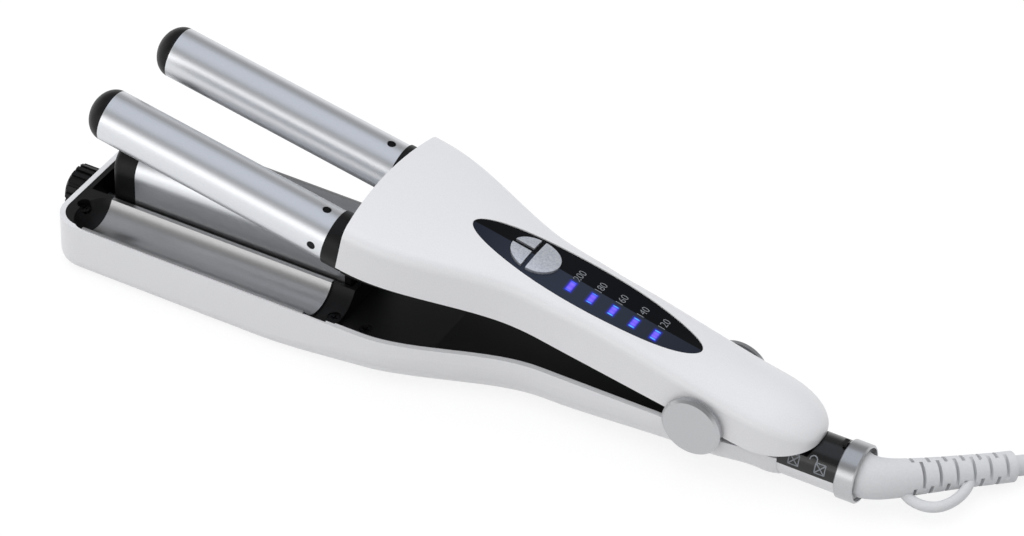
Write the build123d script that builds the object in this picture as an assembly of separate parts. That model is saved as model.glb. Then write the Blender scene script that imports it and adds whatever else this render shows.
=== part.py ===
from build123d import *
import math
import os

# A three-barrel wave styler: a pair of tongs with two heated barrels on the upper arm
# and one height-adjustable barrel between two heated troughs on the lower arm.
# Millimetres. +X runs from the tips to the cord, +Z up, the lower arm lies on z = 0.
# Shapes are drawn with x = 0 at the pivot pin and the arms closed, then the upper arm is
# swung open, and everything is moved along X so that the middle of the tool is at x = 0.

# Whole tool
pivot_height = 22.0
open_angle = 10.4
tip_end = -250.0
jaw_half_width = 32.6
shell_wall = 2.0
cover_wall = 1.7
rim_height = 20.1
seat_gap = 0.1
run_gap = 0.3
section_spacing = 9.0

# Lower arm
jaw_narrows_from = -122.0
jaw_narrows_to = -60.0
handle_half_width = 16.8
tip_plan_corner = 11.0
tip_corner = 5.5
square_jaw_end = -190.0
handle_corner = 15.4
corner_grows_from = -165.0
corner_grows_to = -100.0
tail_from = 0.0
tail_to = 32.0
shell_end = 28.5
neck_radius = 9.5
neck_axis_height = 12.6
rim_slope_from = -4.0
rim_end_height = 14.2
deck_height = 17.0
deck_under_rim = 2.6
deck_thickness = 2.5
deck_front = -98.0
groove_rear = -135.5
groove_floor = 13.2
basin_middle = -143.0
basin_length = 44.0
basin_half_width = 30.0
basin_floor_front = 12.2
basin_floor_rear = 15.4

# Barrels and troughs
barrel_radius = 9.5
barrel_wall = 1.2
barrel_inset = 10.8
barrel_rise = 3.0
barrel_front = -232.5
barrel_rear = -128.0
cap_length = 7.5
cap_plug = 5.0
collar_front = -140.2
collar_rear = -133.7
collar_radius = 10.0
heater_front = -215.0
heater_rear = -150.0
heater_thickness = 3.0
barrel_screw_place = -145.4
side_screw_place = -144.5
screw_radius = 1.5
trough_front = -236.0
trough_rear = -144.5
trough_gap = 0.8
plate_thickness = 0.8
lip_width = 0.9
lip_height = 0.5
inner_lip_width = 1.5
trough_end_length = 8.5
trough_heater_half_width = 5.0

# Middle barrel and its lift
middle_raised = 5.0
middle_front = -228.0
middle_rear = -141.0
middle_skirt = 17.4
middle_cap_length = 10.0
middle_rear_cap = 2.4
middle_round = 3.0
middle_travel = 8.0
screw_room = 0.4
well_gap = 0.8
well_front = -246.0
well_rear = -137.5
well_floor = 2.3
lift_slope = 0.5
wedge_front = -228.0
wedge_length = 30.0
wedge_half_width = 5.0
wedge_low = 13.0
ramp_front = -213.0
ramp_length = 27.0
ramp_half_width = 4.0
middle_heater_front = -178.0
middle_heater_length = 28.0
screw_axis_height = 9.2
lift_screw_radius = 2.0
lift_screw_rear = -186.0
knob_radius = 8.6
knob_length = 9.4
knob_gap = 1.0
knob_ribs = 18
rib_width = 1.6
rib_height = 0.9

# Upper arm
cover_front = -136.0
cover_front_bow = 2.8
cover_narrows_from = -130.0
cover_narrows_to = -64.0
cover_handle_half_width = 16.4
cover_tail_half_width = 16.0
cover_tail_from = 15.0
cover_tail_roundness = 2.3
cover_top_roundness = 3.0
cover_edge = 0.5
cover_edge_rise = 6.0
cover_edge_rises_from = 18.0
cover_top_front = 19.6
cover_top_rear = 16.3
cover_drops_from = -100.0
cover_drops_to = -5.0
shoulder_front = 17.0
shoulder_rear = 12.0
shoulder_drops_from = -45.0
shoulder_inset = 1.2
shoulder_softness = 4.4
inner_cover_depth = 7.6
inner_cover_inset = 3.2
inner_cover_tapers_to = -60.0
inner_cover_rear = -20.0
inner_cover_wall = 1.8
bulkhead_thickness = 3.5
fuse_front = -118.0
fuse_length = 10.0
fuse_radius = 1.5

# Control panel
lens_front = -100.4
lens_rear = -9.4
lens_half_width = 10.9
lens_thickness = 4.2
lens_gap = 0.12
button_place = -75.6
button_cluster_length = 18.6
button_cluster_width = 15.2
button_slot_side = 0.9
button_slot_width = 1.8
button_cross_slot = -76.5
button_gap = 0.15
button_proud = 0.7
button_depth = 4.6
button_travel = 0.6
light_first = -59.1
light_pitch = 8.4
light_count = 5
light_near = -6.4
light_far = -1.9
light_width = 2.2
board_front = -96.0
board_rear = -20.0
board_half_width = 9.5
board_top = 12.0
board_thickness = 1.6
switch_size = 4.0

# Pivot
pin_radius = 3.0
pin_fit = 0.02
boss_fit = 0.05
ear_inner = 11.1
ear_thickness = 1.4
ear_radius = 5.0
boss_inner = 8.4
boss_thickness = 2.5
boss_radius = 5.5
disc_radius = 11.1
disc_inner = 17.0
disc_thickness = 2.2
disc_bevel = 0.8
notch_radius = 4.5
spring_half_width = 8.2
spring_radius = 5.0

# Tail: lock ring, swivel and cord
tail_recess_gap = 1.1
tail_recess_side_gap = 2.0
tail_recess_floor = 18.1
ring_front = 50.0
ring_length = 7.0
ring_radius = 10.5
ring_fit = 0.08
ring_travel = 7.0
tab_gap = 1.2
tab_length = 1.6
tab_width = 2.6
tab_height = 1.7
neck_end = 55.6
swivel_radius = 6.5
swivel_front = 46.5
swivel_fit = 0.1
swivel_nose_radius = 4.0
swivel_nose_length = 4.5
contact_thickness = 0.9
contact_width = 1.2
wire_bore = 2.5
cord_radius = 3.6
sleeve_root_radius = 8.0
sleeve_end_radius = 5.4
sleeve_route = [
    (neck_end + 0.2, 0, 12.6), (60.8, 0.9, 12.2), (66, 4.9, 11.4), (71.5, 10.6, 10.4),
    (77.3, 17, 9.3), (83.3, 23.7, 8.1), (89.1, 30.2, 6.9), (95, 36.8, 5.8),
]
sleeve_slots = 12
slot_width = 1.3
slot_reach = 9.0
slot_core = 3.2
loop_radius = 1.9
loop_route = [(67.5, 7, 9.5), (73, 2.6, 7), (80.5, 3.4, 6.2), (86, 11, 6.2), (85, 24.5, 7.4)]
lead_route = [
    (95, 36.8, 5.8), (102.8, 45.5, 4.35), (109.8, 53.1, 3.9), (121, 61.5, 3.75), (134, 67.6, 3.7),
    (148, 70.6, 3.7), (163.8, 70.6, 3.7),
]
coil_outer_radius = 50.0
coil_turn_gap = 0.6
coil_arcs_in = 6
coil_arcs_out = 6
plug_turn_radius = 26.6
plug_lead_run = 7.2
plug_gap = 0.1
plug_length = 26.0
plug_width = 30.0
plug_height = 16.0
plug_neck_length = 14.0
plug_neck_radius = 5.0
plug_pin_radius = 2.0
plug_pin_length = 19.0
plug_pin_pitch = 18.6

frame_shift = -(tip_end - knob_gap - knob_length + ring_front + ring_length) / 2
sides = {"near": -1, "far": 1}
barrel_side = jaw_half_width - barrel_inset
barrel_height = pivot_height + barrel_rise
cover_tail_length = ring_front - ring_travel - tab_length - tab_gap - cover_tail_from
trough_radius = barrel_radius + trough_gap
plate_radius = trough_radius + plate_thickness
middle_height = barrel_height + middle_raised
middle_bottom = middle_height - middle_skirt
ramp_rise = run_gap / 2
coil_pitch = 2 * cord_radius + coil_turn_gap
plug_rise = cord_radius + plug_gap + plug_height / 2


def blend(x, x0, x1, y0, y1):
    """Ease from y0 at x0 to y1 at x1, level at both ends."""
    t = min(max((x - x0) / (x1 - x0), 0), 1)
    return y0 + (y1 - y0) * t * t * (3 - 2 * t)


def save(name, shape):
    export_step(Pos(frame_shift, 0, 0) * shape, f"parts/{name}.step")


def section(x, edges):
    """A face across the tool at x, from edges drawn in (y, z)."""
    return Plane(origin=(x, 0, 0), x_dir=(0, 1, 0), z_dir=(1, 0, 0)) * make_face(edges)


def rod(radius, x0, x1, y=0, z=0):
    """A round bar along X."""
    plane = Plane(origin=(x0, y, z), z_dir=(1, 0, 0))
    return extrude(plane * Circle(radius), x1 - x0)


def axle(radius, y0, y1, x=0, z=0):
    """A round bar along Y."""
    plane = Plane(origin=(x, y0, z), z_dir=(0, 1, 0))
    return extrude(plane * Circle(radius), y1 - y0)


def post(radius, x, y, z0, z1):
    """A round bar along Z."""
    return extrude(Plane.XY.offset(z0) * Pos(x, y) * Circle(radius), z1 - z0)


def block(x0, x1, y0, y1, z0, z1):
    return Pos((x0 + x1) / 2, (y0 + y1) / 2, (z0 + z1) / 2) * Box(x1 - x0, y1 - y0, z1 - z0)


def side_profile(points, y0, y1):
    """An outline drawn in (x, z), as thick as y0 to y1."""
    face = Plane.XZ * make_face(Polyline(*points, close=True))
    return Pos(0, y1, 0) * extrude(face, y1 - y0)


def even_places(x0, x1):
    """Places from x0 to x1 at about the section spacing."""
    count = max(round((x1 - x0) / section_spacing), 2)
    return [x0 + (x1 - x0) * i / count for i in range(count + 1)]


def shell_half(x):
    if x < tail_from:
        return blend(x, jaw_narrows_from, jaw_narrows_to, jaw_half_width, handle_half_width)
    return blend(x, tail_from, tail_to, handle_half_width, neck_radius)


def shell_bottom(x):
    return blend(x, jaw_narrows_to, tail_from, 0, neck_axis_height - neck_radius)


def shell_corner(x, inset):
    grown = blend(x, corner_grows_from, corner_grows_to, tip_corner, handle_corner)
    return max(min(grown, shell_half(x) - 0.6) - inset, 1)


def tub(inset, x0, x1, top):
    """The lower arm's outline drawn in by inset, as a solid from x0 to x1."""
    faces = []
    for x in even_places(x0, x1):
        half = shell_half(x) - inset
        low = shell_bottom(x) + inset
        corner = shell_corner(x, inset)
        faces.append(section(x, [
            Line((-half, top), (-half, low + corner)),
            CenterArc((-half + corner, low + corner), corner, 180, 90),
            Line((-half + corner, low), (half - corner, low)),
            CenterArc((half - corner, low + corner), corner, 270, 90),
            Line((half, low + corner), (half, top)),
            Line((half, top), (-half, top)),
        ]))
    return loft(faces)


def arm_body(inset, x1, top):
    """The lower arm drawn in by inset: square with rounded corners at the tip, then the tub."""
    half = jaw_half_width - inset
    x0 = tip_end + inset
    outline = Polyline((x0, -half), (x0, half), (square_jaw_end, half), (square_jaw_end, -half), close=True)
    plan = make_face(outline)
    plan = fillet(plan.vertices().sort_by(Axis.X)[:2], tip_plan_corner - inset)
    jaw = Pos(0, 0, inset) * extrude(plan, top - inset)
    low = jaw.faces().sort_by(Axis.Z)[0].edges()
    low = [e for e in low if e.center().X < square_jaw_end - 1]
    return fillet(low, tip_corner - inset) + tub(inset, square_jaw_end, x1, top)


def rim_slope(drop):
    """What lies above the rim's slope down to the tail, lowered by drop."""
    high = pivot_height + 20
    return side_profile([
        (rim_slope_from, rim_height - drop), (shell_end + 1, rim_end_height - drop),
        (shell_end + 1, high), (rim_slope_from, high),
    ], -40, 40)


def trough_cut(side, radius):
    """Room for one trough and the rounded end that takes the barrel's cap."""
    y = side * barrel_side
    bar = rod(radius, trough_front, groove_rear, y, barrel_height)
    dome = Pos(trough_front, y, barrel_height) * scale(Sphere(radius), (trough_end_length / radius, 1, 1))
    return bar + dome


def neck_half(x0, x1, z0, z1):
    """The part of the round neck between two heights."""
    return rod(neck_radius, x0, x1, 0, neck_axis_height) & block(x0, x1, -20, 20, z0, z1)


def neck_bore():
    step = swivel_front + swivel_nose_length
    bore = rod(swivel_radius + swivel_fit, step, neck_end + 1, 0, neck_axis_height)
    nose_radius = swivel_nose_radius + contact_thickness + 2 * swivel_fit
    bore += rod(nose_radius, swivel_front - run_gap, neck_end, 0, neck_axis_height)
    return bore + rod(wire_bore, shell_end - shell_wall - 1, neck_end, 0, neck_axis_height)


def make_lower_shell():
    shell = arm_body(0, shell_end, rim_height)
    shell = shell - arm_body(shell_wall, shell_end - shell_wall, rim_height + 1) - rim_slope(0)
    for side in sides.values():
        shell -= trough_cut(side, plate_radius + seat_gap)
        shell -= rod(collar_radius + 0.5, trough_rear, collar_rear + 1.5, side * barrel_side, barrel_height)
    shell -= rod(lift_screw_radius + seat_gap, tip_end - 1, tip_end + shell_wall + 1, 0, screw_axis_height)
    shell -= axle(pin_radius + pin_fit, -disc_inner, disc_inner, 0, pivot_height)
    shell += neck_half(shell_end - 1, neck_end, 0, neck_axis_height)
    return shell - neck_bore()


def liner_screw_places():
    """One screw in the groove, one in the basin and one in the tip."""
    return [(-138.2, -21.4, 13.9), (-125.9, -20.6, 13.3), (-243.5, -19.0, 18.5)]


def slope(front_height, rear_height):
    """What lies above a slope from the end of the grooves back to the deck."""
    return side_profile([
        (groove_rear, front_height), (deck_front + 0.01, rear_height),
        (deck_front + 0.01, 50), (groove_rear, 50),
    ], -40, 40)


def make_lower_liner():
    inset = shell_wall + seat_gap
    liner = arm_body(inset, shell_end - inset, rim_height)
    for side in sides.values():
        y = side * barrel_side
        liner -= trough_cut(side, plate_radius + seat_gap)
        half = trough_heater_half_width + seat_gap
        liner -= block(heater_front - seat_gap, heater_rear + seat_gap, y - half, y + half,
                       barrel_height - plate_radius - heater_thickness - 2 * seat_gap, barrel_height)
    well_half = barrel_radius + well_gap
    liner -= block(well_front, well_rear, -well_half, well_half, well_floor, 50)
    liner -= block(deck_front, shell_end, -40, 40, deck_height, 50)
    liner -= slope(groove_floor, deck_height)
    basin = tub(inset + shell_wall, groove_rear, jaw_narrows_to, 50)
    basin &= extrude(Pos(basin_middle, 0) * Ellipse(basin_length, basin_half_width), 60)
    liner -= basin & slope(basin_floor_front, basin_floor_rear)
    hollow = tub(inset + deck_thickness, jaw_narrows_to + 4, shell_end - 5, rim_height)
    liner -= hollow & block(jaw_narrows_to, shell_end, -40, 40, 0, deck_height - deck_thickness)
    liner -= rim_slope(deck_under_rim)
    liner -= axle(boss_radius + 3 * run_gap, -ear_inner + seat_gap, ear_inner - seat_gap, 0, pivot_height)
    for side in sides.values():
        y0, y1 = sorted((side * ear_inner, side * (ear_inner + ear_thickness)))
        ear = axle(ear_radius, y0, y1, 0, pivot_height)
        ear += block(-ear_radius, ear_radius, y0, y1, deck_height - deck_thickness, pivot_height)
        liner += ear - axle(pin_radius + pin_fit, y0 - 1, y1 + 1, 0, pivot_height)
    liner -= rod(lift_screw_radius + seat_gap, tip_end, well_front + 1, 0, screw_axis_height)
    for x, y, z in liner_screw_places():
        liner -= post(screw_radius + 1, x, y, z - 1.5, z + 5)
        liner -= post(screw_radius, x, y, z - 4, z)
    return liner


def make_liner_screws():
    screws = Part()
    for x, y, z in liner_screw_places():
        head = post(screw_radius + 0.8, x, y, z - 1.5, z - 0.3)
        slot = block(x - 1.3, x + 1.3, y - 0.25, y + 0.25, z - 0.8, z) + block(
            x - 0.25, x + 0.25, y - 1.3, y + 1.3, z - 0.8, z)
        screws += head + post(screw_radius - seat_gap, x, y, z - 3.9, z - 1.4) - slot
    return screws


def make_trough_plate(side):
    y = side * barrel_side
    plate = rod(plate_radius, trough_front, trough_rear, y, barrel_height)
    plate -= rod(trough_radius, trough_front - 1, trough_rear + 1, y, barrel_height)
    plate &= block(trough_front, trough_rear, -40, 40, 0, rim_height + lip_height)
    half = math.sqrt(trough_radius ** 2 - (barrel_height - rim_height) ** 2) + 0.2
    for near, far in ((barrel_side + half, barrel_side + half + lip_width),
                      (barrel_side - half - inner_lip_width, barrel_side - half)):
        y0, y1 = sorted((side * near, side * far))
        plate += block(trough_front, trough_rear, y0, y1, rim_height, rim_height + lip_height)
    return plate


def make_trough_heater(side):
    y = side * barrel_side
    top = barrel_height - plate_radius - seat_gap
    half = trough_heater_half_width
    return block(heater_front, heater_rear, y - half, y + half, top - heater_thickness, top)


def cap(x, y, z):
    """A domed end that closes a barrel on its tip side."""
    dome = Pos(x, y, z) * scale(Sphere(barrel_radius), (cap_length / barrel_radius, 1, 1))
    return dome & block(x - cap_length - 1, x, y - 15, y + 15, z - 15, z + 15)


def make_barrel(side):
    y = side * barrel_side
    barrel = rod(barrel_radius, barrel_front, barrel_rear, y, barrel_height)
    barrel -= rod(barrel_radius - barrel_wall, barrel_front - 1, barrel_rear + 1, y, barrel_height)
    barrel -= post(screw_radius + seat_gap, barrel_screw_place, y, barrel_height, barrel_height + 15)
    if side < 0:
        barrel -= axle(screw_radius + seat_gap, y - 15, y, side_screw_place, barrel_height)
    return barrel


def make_barrel_cap(side):
    y = side * barrel_side
    radius = barrel_radius - barrel_wall - seat_gap
    plug = rod(radius, barrel_front, barrel_front + cap_plug, y, barrel_height)
    return cap(barrel_front, y, barrel_height) + plug


def make_barrel_collar(side):
    y = side * barrel_side
    collar = rod(collar_radius, collar_front, collar_rear, y, barrel_height)
    return collar - rod(barrel_radius + seat_gap / 2, collar_front - 1, collar_rear + 1, y, barrel_height)


def make_barrel_heater(side):
    y = side * barrel_side
    half = barrel_radius - barrel_wall - 2 * seat_gap
    low = barrel_height - heater_thickness / 2
    return block(heater_front, heater_rear - 8, y - half, y + half, low, low + heater_thickness)


def make_barrel_screws():
    screws = Part()
    for side in sides.values():
        top = barrel_height + barrel_radius
        screws += post(screw_radius, barrel_screw_place, side * barrel_side, top - 2, top - 0.3)
    y = -barrel_side - barrel_radius
    return screws + axle(screw_radius, y + 0.3, y + 2, side_screw_place, barrel_height)


def cover_half(x):
    if x < cover_narrows_to:
        return blend(x, cover_narrows_from, cover_narrows_to, jaw_half_width, cover_handle_half_width)
    if x < cover_tail_from:
        t = (x - cover_narrows_to) / (cover_tail_from - cover_narrows_to)
        return cover_handle_half_width + (cover_tail_half_width - cover_handle_half_width) * t
    t = (x - cover_tail_from) / cover_tail_length
    return cover_tail_half_width * (1 - t ** cover_tail_roundness) ** (1 / cover_tail_roundness)


def tail_share(x):
    """How much of its height the cover keeps at x: all of it, until the tail rounds off."""
    t = max((x - cover_tail_from) / cover_tail_length, 0)
    return (1 - t ** cover_top_roundness) ** (1 / cover_top_roundness)


def cover_edge_at(x):
    rise_length = cover_tail_from + cover_tail_length - cover_edge_rises_from
    t = max((x - cover_edge_rises_from) / rise_length, 0)
    return pivot_height + cover_edge + cover_edge_rise * t * t


def cover_top_at(x):
    edge = cover_edge_at(x)
    top = pivot_height + blend(x, cover_drops_from, cover_drops_to, cover_top_front, cover_top_rear)
    return edge + (top - edge) * tail_share(x)


def shoulder_at(x):
    edge = cover_edge_at(x)
    top = pivot_height + blend(x, shoulder_drops_from, cover_edge_rises_from, shoulder_front, shoulder_rear)
    return edge + (top - edge) * tail_share(x)


def crease_at(x):
    """How far out the crease runs: over the side in front, further in along the handle."""
    inset = blend(x, cover_narrows_to, shoulder_drops_from, 0, shoulder_inset)
    return cover_half(x) - inset * tail_share(x)


def cover_places(x0, x1):
    places = even_places(cover_front, cover_tail_from)
    places += [cover_tail_from + cover_tail_length * share for share in (0.2, 0.4, 0.6, 0.75, 0.87, 0.94)]
    return [x0] + [p for p in places if x0 + 2 < p < x1 - 1] + [x1]


def cover_section(x, inset, soft):
    """The cover across the tool at x: two sides, a crease and a crowned top."""
    half = cover_half(x) - inset
    crease = crease_at(x) - inset
    shoulder = shoulder_at(x) - 0.6 * inset
    top = cover_top_at(x) - inset
    low = cover_edge_at(x) - inset
    face = make_face([
        Line((-half, low), (-crease, shoulder)),
        ThreePointArc((-crease, shoulder), (0, top), (crease, shoulder)),
        Line((crease, shoulder), (half, low)),
        Line((half, low), (-half, low)),
    ])
    if soft:
        creases = [v for v in face.vertices() if abs(v.Y - shoulder) < 0.001]
        face = fillet(creases, shoulder_softness * min(half / cover_tail_half_width, 1))
    return Plane(origin=(x, 0, 0), x_dir=(0, 1, 0), z_dir=(1, 0, 0)) * face


def front_bow():
    """What lies behind the cover's front edge, which bows towards the tip when seen from above."""
    reach = jaw_half_width + 1
    front = cover_front + cover_front_bow
    rear = cover_tail_from + cover_tail_length
    return extrude(make_face([
        ThreePointArc((front, -reach), (cover_front, 0), (front, reach)),
        Polyline((front, reach), (rear, reach), (rear, -reach), (front, -reach)),
    ]), 80)


def cover_body(inset, x0, x1, soft=False):
    return loft([cover_section(x, inset, soft) for x in cover_places(x0, x1)])


def lens_plan(gap=0):
    """A long oval seen from above, with room round it for the cover's opening."""
    oval = Ellipse((lens_rear - lens_front) / 2 + gap, lens_half_width + gap)
    return Pos((lens_front + lens_rear) / 2, 0) * oval


def lens_layer(rise, depth, crowned=False):
    """The panel's roof-shaped top raised by rise, and what lies under it down to depth."""
    reach = lens_half_width + 1
    faces = []
    for x in even_places(lens_front - 2, lens_rear + 2):
        top = cover_top_at(x)
        crown = top - shoulder_at(x)
        share = reach / crease_at(x)
        fall = crown * share * share + 0.5
        ridge = top + rise
        low = top - depth
        if crowned:
            roof = [ThreePointArc((-reach, ridge - fall), (0, ridge), (reach, ridge - fall))]
        else:
            roof = [Line((-reach, ridge - fall), (0, ridge)), Line((0, ridge), (reach, ridge - fall))]
        faces.append(section(x, roof + [
            Line((reach, ridge - fall), (reach, low)), Line((reach, low), (-reach, low)),
            Line((-reach, low), (-reach, ridge - fall)),
        ]))
    return loft(faces)


def button_faces(gap=0):
    """Two quarter buttons in front and one half button behind, cut from one oval, with room round them."""
    oval = Pos(button_place, 0) * Ellipse(button_cluster_length / 2 + gap, button_cluster_width / 2 + gap)
    half_slot = button_slot_width / 2 - gap
    reach = button_cluster_length
    front = button_cross_slot - half_slot
    rear = button_cross_slot + half_slot
    far_low = button_slot_side + half_slot
    near_high = button_slot_side - half_slot
    return {
        "plus_button": oval & Pos(front - reach / 2, far_low + reach / 2) * Rectangle(reach, reach),
        "minus_button": oval & Pos(front - reach / 2, near_high - reach / 2) * Rectangle(reach, reach),
        "power_button": oval & Pos(rear + reach / 2, 0) * Rectangle(reach, 2 * reach),
    }


def light_places():
    return [light_first + i * light_pitch for i in range(light_count)]


def make_control_lens():
    lens = lens_layer(0.1, lens_thickness) & extrude(lens_plan(), 60)
    for face in button_faces(button_gap).values():
        lens -= extrude(face, 60)
    half = light_width / 2 + 0.05
    for x in light_places():
        lens -= block(x - half, x + half, light_near - 0.05, light_far + 0.05, 0, 60)
    return lens


def make_buttons():
    crowned = lens_layer(button_proud, button_depth, True)
    return {name: crowned & extrude(face, 60) for name, face in button_faces().items()}


def make_light_bars():
    layer = lens_layer(0.15, 20)
    bars = Part()
    for x in light_places():
        low = pivot_height + board_top + 0.05
        bars += layer & block(x - light_width / 2, x + light_width / 2, light_near, light_far, low, 60)
    return bars


def make_circuit_board():
    top = pivot_height + board_top
    half = board_half_width
    return block(board_front, board_rear, -half, half, top - board_thickness, top)


def make_button_switches():
    switches = Part()
    half = switch_size / 2
    for face in button_faces().values():
        x, y = face.center().X, face.center().Y
        top = cover_top_at(x + half) - button_depth - button_travel - seat_gap
        switches += block(x - half, x + half, y - half, y + half, pivot_height + board_top, top)
    return switches


def make_upper_cover():
    rear = cover_tail_from + cover_tail_length - 0.2
    cover = cover_body(0, cover_front, rear, True) & front_bow()
    cover -= cover_body(cover_wall, cover_front - 1, rear - 4)
    cover -= extrude(lens_plan(lens_gap), 60)
    for side in sides.values():
        y = side * barrel_side
        cover -= rod(barrel_radius + run_gap / 2, cover_front - 1, barrel_rear + 1, y, barrel_height)
        y0, y1 = sorted((side * boss_inner, side * (boss_inner + boss_thickness)))
        boss = axle(boss_radius, y0, y1, 0, pivot_height)
        boss += block(-3, 3, y0, y1, pivot_height, shoulder_at(0) + cover_wall / 2)
        cover += boss - axle(pin_radius + boss_fit, y0 - 1, y1 + 1, 0, pivot_height)
    for side in sides.values():
        y0, y1 = sorted((side * (ear_inner + 0.1), side * disc_inner))
        cover -= axle(notch_radius, y0, y1, 0, pivot_height)
    return cover


def inner_cover_low(x):
    t = max((inner_cover_tapers_to - x) / (inner_cover_tapers_to - cover_front), 0)
    return pivot_height - 0.3 - (inner_cover_depth - 0.3) * t


def inner_cover_tray(inset, x0, x1, top):
    faces = []
    for x in [x0] + [p for p in cover_places(x0, x1)[1:-1]] + [x1]:
        half = cover_half(x) - inner_cover_inset - inset
        low = inner_cover_low(x) + inset
        corner = min(6 * (top - low) / (inner_cover_depth + 2), half / 2)
        faces.append(section(x, [
            Line((-half, top), (-half, low + corner)),
            CenterArc((-half + corner, low + corner), corner, 180, 90),
            Line((-half + corner, low), (half - corner, low)),
            CenterArc((half - corner, low + corner), corner, 270, 90),
            Line((half, low + corner), (half, top)),
            Line((half, top), (-half, top)),
        ]))
    return loft(faces)


def make_inner_cover():
    front = cover_front + cover_front_bow + 0.4
    top = pivot_height + 2.0
    inner = inner_cover_tray(0, front, inner_cover_rear, top)
    behind = front + bulkhead_thickness
    inner -= inner_cover_tray(inner_cover_wall, behind, inner_cover_tapers_to - 8, top + 0.01)
    bulkhead = cover_body(cover_wall + seat_gap, front, behind)
    inner += bulkhead & block(front, behind, -40, 40, pivot_height + 0.6, 60)
    for side in sides.values():
        y = side * barrel_side
        inner -= rod(barrel_radius + seat_gap, front - 1, barrel_rear + 0.5, y, barrel_height)
    return inner


def make_thermal_fuse():
    rear = fuse_front + fuse_length
    seat = inner_cover_low(rear) + inner_cover_wall + fuse_radius + seat_gap
    return rod(fuse_radius, fuse_front, rear, 0, seat)


def make_dial_knob():
    x1 = tip_end - knob_gap
    x0 = x1 - knob_length
    knob = rod(knob_radius - rib_height, x0, x1, 0, screw_axis_height)
    knob = chamfer(knob.edges().filter_by(GeomType.CIRCLE).group_by(Axis.X)[0], 1)
    for i in range(knob_ribs):
        angle = 360 / knob_ribs * i
        rib = block(x0 + 1.2, x1, -rib_width / 2, rib_width / 2, knob_radius - 1.6, knob_radius)
        knob += Pos(0, 0, screw_axis_height) * Rot(angle, 0, 0) * rib
    return knob


def make_lift_screw():
    return rod(lift_screw_radius, tip_end - knob_gap, lift_screw_rear, 0, screw_axis_height)


def ramp_height(x):
    return wedge_low + lift_slope * (x - wedge_front)


def make_lift_wedge():
    rear = wedge_front + wedge_length
    low = well_floor + run_gap
    wedge = side_profile([
        (wedge_front, low), (rear, low), (rear, ramp_height(rear)), (wedge_front, ramp_height(wedge_front)),
    ], -wedge_half_width, wedge_half_width)
    return wedge - rod(lift_screw_radius + 0.08, wedge_front - 1, rear + 1, 0, screw_axis_height)


def middle_outline(x, inset, low):
    """Round on top with upright sides down to low."""
    radius = barrel_radius - inset
    return section(x, [
        CenterArc((0, middle_height), radius, 0, 180),
        Line((-radius, middle_height), (-radius, low)),
        Line((-radius, low), (radius, low)),
        Line((radius, low), (radius, middle_height)),
    ])


def make_middle_barrel():
    length = middle_rear - middle_front
    barrel = extrude(middle_outline(middle_front, 0, middle_bottom), length)
    return barrel - extrude(middle_outline(middle_front, barrel_wall, middle_bottom - 1), length)


def make_middle_cap_front():
    front = middle_front - middle_cap_length
    body = extrude(middle_outline(front, 0, middle_bottom), middle_cap_length)
    rim = body.faces().sort_by(Axis.X)[0].edges()
    rim = [e for e in rim if e.center().Z > middle_bottom + 0.1]
    half = lift_screw_radius + screw_room
    notch_top = screw_axis_height + middle_travel + half
    return fillet(rim, middle_round) - block(front, middle_front, -half, half, middle_bottom, notch_top)


def make_middle_cap_rear():
    return extrude(middle_outline(middle_rear, 0, middle_bottom), middle_rear_cap)


def make_middle_ramp():
    rear = ramp_front + ramp_length
    half = ramp_half_width
    inner = barrel_radius - barrel_wall
    top = middle_height + math.sqrt(inner ** 2 - half ** 2) - seat_gap
    return side_profile([
        (ramp_front, ramp_height(ramp_front) + ramp_rise), (rear, ramp_height(rear) + ramp_rise),
        (rear, top), (ramp_front, top),
    ], -half, half)


def make_middle_heater():
    half = barrel_radius - barrel_wall - seat_gap
    rear = middle_heater_front + middle_heater_length
    return block(middle_heater_front, rear, -half, half, middle_height - heater_thickness, middle_height)


def make_pivot_pin():
    return axle(pin_radius, -disc_inner, disc_inner, 0, pivot_height)


def make_pivot_disc(side):
    y0, y1 = sorted((side * disc_inner, side * (disc_inner + disc_thickness)))
    disc = axle(disc_radius, y0, y1, 0, pivot_height)
    outer = disc.edges().filter_by(GeomType.CIRCLE).sort_by(Axis.Y)[-1 if side > 0 else 0]
    return chamfer(outer, disc_bevel)


def make_opening_spring():
    half = spring_half_width
    spring = axle(spring_radius, -half, half, 0, pivot_height)
    return spring - axle(pin_radius + run_gap, -half - 1, half + 1, 0, pivot_height)


def make_tail_neck():
    neck = neck_half(shell_end, neck_end, neck_axis_height, neck_axis_height + neck_radius)
    recess = Ellipse(cover_tail_length + tail_recess_gap, cover_tail_half_width + tail_recess_side_gap)
    neck -= extrude(Pos(cover_tail_from, 0, tail_recess_floor) * recess, 50)
    return neck - neck_bore()


def make_lock_ring():
    rear = ring_front + ring_length
    ring = rod(ring_radius, ring_front, rear, 0, neck_axis_height)
    ring = chamfer(ring.edges().filter_by(GeomType.CIRCLE), 0.4)
    return ring - rod(neck_radius + ring_fit, ring_front - 1, rear + 1, 0, neck_axis_height)


def make_lock_tab():
    low = neck_axis_height + neck_radius + run_gap
    return block(ring_front - tab_length, ring_front, -tab_width / 2, tab_width / 2, low, low + tab_height)


def make_swivel_bush():
    step = swivel_front + swivel_nose_length
    bush = rod(swivel_radius, step + seat_gap, neck_end, 0, neck_axis_height)
    bush += rod(swivel_nose_radius, swivel_front, step + 1, 0, neck_axis_height)
    return bush - rod(wire_bore, swivel_front - 1, neck_end + 1, 0, neck_axis_height)


def make_slip_contacts():
    contacts = Part()
    for i in range(2):
        x = swivel_front + 0.6 + 2 * i
        band = rod(swivel_nose_radius + contact_thickness, x, x + contact_width, 0, neck_axis_height)
        contacts += band - rod(swivel_nose_radius + 0.02, x - 1, x + 3, 0, neck_axis_height)
    return contacts


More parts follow.
